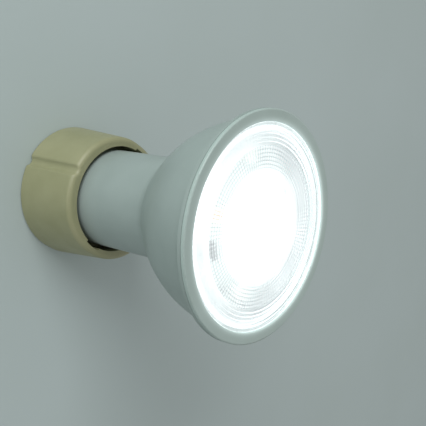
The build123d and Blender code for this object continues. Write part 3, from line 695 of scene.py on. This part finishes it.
def ring_tree():
    """Copies of a part in a ring about the axis, each turned with the ring."""
    tree, given = new_tree(
        "ring_of_parts", Count="Int", Ring_Radius="Float", First_Angle="Float", Level="Float",
    )
    ring = add(tree, "GeometryNodeMeshCircle", {"Vertices": given["Count"], "Radius": given["Ring Radius"]})
    lift = add(tree, "ShaderNodeCombineXYZ", {"Z": given["Level"]}).outputs["Vector"]
    turn = add(tree, "ShaderNodeCombineXYZ", {"Z": given["First Angle"]}).outputs["Vector"]
    places = add(tree, "GeometryNodeTransform", {
        "Geometry": ring.outputs["Mesh"], "Translation": lift, "Rotation": turn,
    })
    order = add(tree, "GeometryNodeInputIndex").outputs["Index"]
    share = add(tree, "ShaderNodeMath", {0: order, 1: given["Count"]}, operation="DIVIDE")
    turned = {0: share.outputs["Value"], 1: 2 * pi, 2: given["First Angle"]}
    angle = add(tree, "ShaderNodeMath", turned, operation="MULTIPLY_ADD")
    facing = add(tree, "ShaderNodeCombineXYZ", {"Z": angle.outputs["Value"]}).outputs["Vector"]
    copies = add(tree, "GeometryNodeInstanceOnPoints", {
        "Points": places.outputs["Geometry"], "Instance": given["Mesh"], "Rotation": facing,
    })
    end_tree(tree, given, copies.outputs["Instances"])
    return tree


def row_tree():
    """Copies of a part in a straight row about a place."""
    tree, given = new_tree("row_of_parts", Count="Int", Pitch="Float", Place="Vector", Turn="Float")
    spaces = add(tree, "ShaderNodeMath", {0: given["Count"], 1: 1.0}, operation="SUBTRACT")
    sides = {0: spaces.outputs["Value"], 1: given["Pitch"]}
    length = add(tree, "ShaderNodeMath", sides, operation="MULTIPLY")
    start = add(tree, "ShaderNodeMath", {0: length.outputs["Value"], 1: -0.5}, operation="MULTIPLY")
    first = add(tree, "ShaderNodeCombineXYZ", {"X": start.outputs["Value"]}).outputs["Vector"]
    step = add(tree, "ShaderNodeCombineXYZ", {"X": given["Pitch"]}).outputs["Vector"]
    row = add(tree, "GeometryNodeMeshLine", {
        "Count": given["Count"], "Start Location": first, "Offset": step,
    })
    places = add(tree, "GeometryNodeTransform", {
        "Geometry": row.outputs["Mesh"], "Translation": given["Place"],
        "Rotation": add(tree, "ShaderNodeCombineXYZ", {"Z": given["Turn"]}).outputs["Vector"],
    })
    copies = add(tree, "GeometryNodeInstanceOnPoints", {
        "Points": places.outputs["Geometry"], "Instance": given["Mesh"],
    })
    end_tree(tree, given, copies.outputs["Instances"])
    return tree


def lens_relief_tree():
    """Pillow facets raised in the belt of a lens, and ripples sunk in its rings."""
    tree, given = new_tree(
        "lens_relief", Facets="Float", Belt_Start="Float", Belt_End="Float", Row_Pitch="Float",
        Rise="Float", Belt_Level="Float", Ring_End="Float", Ripple="Float", Ring_Level="Float",
    )
    place = add(tree, "GeometryNodeInputPosition").outputs["Position"]
    height = add(tree, "ShaderNodeSeparateXYZ", {"Vector": place}).outputs["Z"]
    radius, angle = about_axis(tree, place)
    across = spokes(tree, angle, given["Facets"])
    along = rows(tree, radius, given["Belt Start"], given["Row Pitch"])
    bulge = add(tree, "ShaderNodeMath", {0: across, 1: along}, operation="MULTIPLY").outputs["Value"]
    crease = add(tree, "ShaderNodeMath", {0: across, 1: 1.0}, operation="SUBTRACT").outputs["Value"]
    shaped = given["Mesh"]
    zones = (
        (bulge, "Rise", "Belt Start", "Belt End", "Belt Level"),
        (crease, "Ripple", "Belt End", "Ring End", "Ring Level"),
    )
    for wave, depth, inner, outer, level in zones:
        move = add(tree, "ShaderNodeMath", {0: wave, 1: given[depth]}, operation="MULTIPLY")
        past = add(tree, "FunctionNodeCompare", {"A": radius, "B": given[inner]}, operation="GREATER_THAN")
        within = add(tree, "FunctionNodeCompare", {"A": radius, "B": given[outer]}, operation="LESS_THAN")
        above = add(tree, "FunctionNodeCompare", {"A": height, "B": given[level]}, operation="GREATER_THAN")
        limits = {0: past.outputs["Result"], 1: within.outputs["Result"]}
        zone = add(tree, "FunctionNodeBooleanMath", limits).outputs["Boolean"]
        face = add(tree, "FunctionNodeBooleanMath", {0: zone, 1: above.outputs["Result"]})
        shaped = add(tree, "GeometryNodeSetPosition", {
            "Geometry": shaped, "Selection": face.outputs["Boolean"],
            "Offset": add(tree, "ShaderNodeCombineXYZ", {"Z": move.outputs["Value"]}).outputs["Vector"],
        }).outputs["Geometry"]
    end_tree(tree, given, shaped)
    return tree


def grown_mesh(name, tree, start, finish, **sizes):
    """Plain mesh that a tree makes from a start mesh, a finish and its named sizes."""
    # The start has the finish as well, so that no empty slot is left in front of it
    start.materials.append(finish)
    maker = bpy.data.objects.new(name, start)
    bpy.context.scene.collection.objects.link(maker)
    modifier = maker.modifiers.new("rule", "NODES")
    modifier.node_group = tree
    values = {"Finish": finish, **{size.replace("_", " "): value for size, value in sizes.items()}}
    for socket in tree.interface.items_tree:
        if socket.in_out == "INPUT" and socket.name in values:
            modifier[socket.identifier] = values[socket.name]
    graph = bpy.context.evaluated_depsgraph_get()
    mesh = bpy.data.meshes.new_from_object(maker.evaluated_get(graph))
    mesh.name = name
    maker.modifiers.clear()
    bpy.data.objects.remove(maker)
    return mesh


def new_piece(mesh, body):
    """Object of the scene that rides on a body and takes its finish from a slot."""
    mesh.shade_smooth()
    mesh.set_sharp_from_angle(angle=sharp_edge)
    piece = bpy.data.objects.new(mesh.name, mesh)
    bpy.context.scene.collection.objects.link(piece)
    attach(piece, body)
    return piece


# Turns that lay the copper fields in the plane of the LED board, the driver board and the aerial board
flat_plane = Matrix.Identity(3)
front_plane = Matrix(((1, 0, 0), (0, 0, 1), (0, -1, 0)))
aerial_plane = Matrix(((0, 1, 0), (0, 0, 1), (1, 0, 0))) @ Matrix.Rotation(radians(-aerial_angle), 3, "Z")

# Finish of each slot: the name of its material, its function and what that needs
slot_finishes = {
    "cream_moulding": ("cream_urea_moulding", cream_moulding),
    "white_shell": ("white_polycarbonate", white_shell, "#97A5A1", "#8E9C98"),
    "clear_lens": ("clear_polycarbonate", clear_lens),
    "zinc_plated_steel": ("zinc_plated_steel", zinc_plated_steel),
    "contact_brass": ("rolled_brass", rolled_brass),
    "plated_pin": ("nickel_plated_brass", nickel_pin),
    "pressed_aluminium": ("pressed_aluminium", pressed_aluminium),
    "tinned_can": ("tinned_steel", tinned_steel),
    "silicone_pad": ("filled_silicone", silicone_pad),
    "white_board": ("white_solder_mask", solder_mask, "#949B98", "#8A918F", flat_plane, (4.2, 2.6), 0.3),
    "black_board": ("black_solder_mask", solder_mask, "#24262A", "#15171A", aerial_plane, (1.6, 0.9), 0.25),
    "green_board": ("green_solder_mask", solder_mask, "#1F6B3C", "#16512C", front_plane, (3.0, 1.8), 0.3),
    "red_epoxy": ("dipped_epoxy", dipped_epoxy),
    "black_epoxy": ("moulded_epoxy", moulded_epoxy),
    "ferrite": ("sintered_ferrite", sintered_ferrite),
    "yellow_tape": ("polyester_tape", wound_tape),
    "white_silicone": ("silicone_insulation", silicone_wire),
}

# Finishes that are laid out on their own piece
node_finishes = {
    "front_bezel": painted_light_polycarbonate,
    "cool_white_leds": lit_phosphor,
    "warm_white_leds": amber_phosphor,
    "input_capacitor": capacitor_sleeve,
    "output_capacitor": capacitor_sleeve,
    "bridge_rectifier": epoxy_package,
    "driver_chip": epoxy_package,
    "fuse_resistor": fuse_enamel,
}
finishes = {slot: make_material(*finish) for slot, finish in slot_finishes.items()}
for subpart in frame["record"]["subparts"]:
    name = subpart["node"]
    mesh = frame["nodes"][name].data
    mesh.materials.clear()
    if name in node_finishes:
        finish = node_finishes[name]
        mesh.materials.append(make_material(finish.__name__ + "_" + name, finish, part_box(name)))
    else:
        mesh.materials.append(finishes[subpart["material_slot"]])

# Lens
lens_start = turned_mesh("lens_start", lens_outline(), facet_count * facet_steps)
lens = new_piece(grown_mesh(
    "moulded_lens", lens_relief_tree(), lens_start, finishes["clear_lens"], Facets=float(facet_count),
    Belt_Start=facet_start * MM, Belt_End=ring_start * MM, Row_Pitch=facet_pitch * MM, Rise=facet_rise * MM,
    Belt_Level=(lens_belt - level_slack) * MM, Ring_End=(lens_radius - lens_land / 2) * MM,
    Ripple=ripple_depth * MM, Ring_Level=(lens_face - lens_ring_depth - level_slack) * MM,
), "bulb")
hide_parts("lens")

# Resistors and solder joints on the LED board
ring_of_parts = ring_tree()
row_of_parts = row_tree()
ring_sizes = {
    "Count": resistor_count, "Ring_Radius": resistor_ring * MM, "First_Angle": radians(resistor_angle),
    "Level": led_face * MM,
}
resistor_ends = block_mesh("resistor_end", resistor_length, resistor_width, resistor_height, resistor_edge)
new_piece(grown_mesh("resistor_ends", ring_of_parts, resistor_ends, finishes["tinned_can"], **ring_sizes),
          "bulb")
resistor_glaze = block_mesh(
    "resistor_glaze", resistor_glaze_length, resistor_width + 2 * resistor_glaze_lift,
    resistor_height + resistor_glaze_lift, resistor_edge,
)
new_piece(grown_mesh("resistors", ring_of_parts, resistor_glaze, finishes["black_board"], **ring_sizes),
          "bulb")
solder_joint = turned_mesh("solder_joint", solder_outline(1.0), header_joint_sides)
new_piece(grown_mesh(
    "header_solder", row_of_parts, solder_joint, finishes["tinned_can"], Count=header_pin_count,
    Pitch=header_pitch * MM, Place=(0, header_line * MM, led_face * MM), Turn=0.0,
), "bulb")
aerial_joint = turned_mesh("aerial_joint", solder_outline(aerial_joint_scale), aerial_joint_sides)
aerial_row = Matrix.Rotation(radians(aerial_angle), 3, "Z") @ Vector((aerial_radius * MM, 0, led_face * MM))
new_piece(grown_mesh(
    "aerial_solder", row_of_parts, aerial_joint, finishes["tinned_can"], Count=aerial_joint_count,
    Pitch=aerial_joint_pitch * MM, Place=aerial_row, Turn=radians(aerial_angle) + pi / 2,
), "bulb")

# Floor, light and camera
floor_mesh = bpy.data.meshes.new("floor")
floor_reach = floor_size / 2
floor_corners = [(x * floor_reach, y * floor_reach, 0) for x, y in ((-1, -1), (1, -1), (1, 1), (-1, 1))]
floor_mesh.from_pydata(floor_corners, [], [(0, 1, 2, 3)])
floor_mesh.materials.append(make_material("backdrop_paper", paper_floor))
floor = bpy.data.objects.new("floor", floor_mesh)
bpy.context.scene.collection.objects.link(floor)

turn = Matrix.Rotation(camera_turn, 4, "Z")
view = turn @ Matrix.Rotation(pi / 2 - camera_elevation, 4, "X") @ Matrix.Rotation(camera_roll, 4, "Z")
camera_data = bpy.data.cameras.new("camera")
camera_data.lens = camera_focal_length
camera_data.sensor_width = camera_sensor
camera_data.sensor_fit = "HORIZONTAL"
camera = bpy.data.objects.new("camera", camera_data)
camera.matrix_world = Matrix.Translation(turn @ camera_place) @ view
bpy.context.scene.collection.objects.link(camera)
bpy.context.scene.camera = camera

lamp_aim = Vector((0, 0, lens_belt * MM / 2))
for name, power, side in (("key", key_power, key_side), ("fill", fill_power, fill_side)):
    direction = (view.to_3x3() @ Vector(side)).normalized()
    lamp_data = bpy.data.lights.new(name, "AREA")
    lamp_data.shape = "DISK"
    lamp_data.size = lamp_size
    lamp_data.energy = power
    lamp = bpy.data.objects.new(name, lamp_data)
    facing = direction.to_track_quat("Z", "Y").to_matrix().to_4x4()
    lamp.matrix_world = Matrix.Translation(lamp_aim + direction * lamp_distance) @ facing
    bpy.context.scene.collection.objects.link(lamp)

world = bpy.data.worlds.new("studio")
world.use_nodes = True
world.node_tree.nodes["Background"].inputs["Color"].default_value = linear("#FFFFFF")
world.node_tree.nodes["Background"].inputs["Strength"].default_value = world_level
bpy.context.scene.world = world
bpy.context.scene.view_settings.view_transform = "Standard"
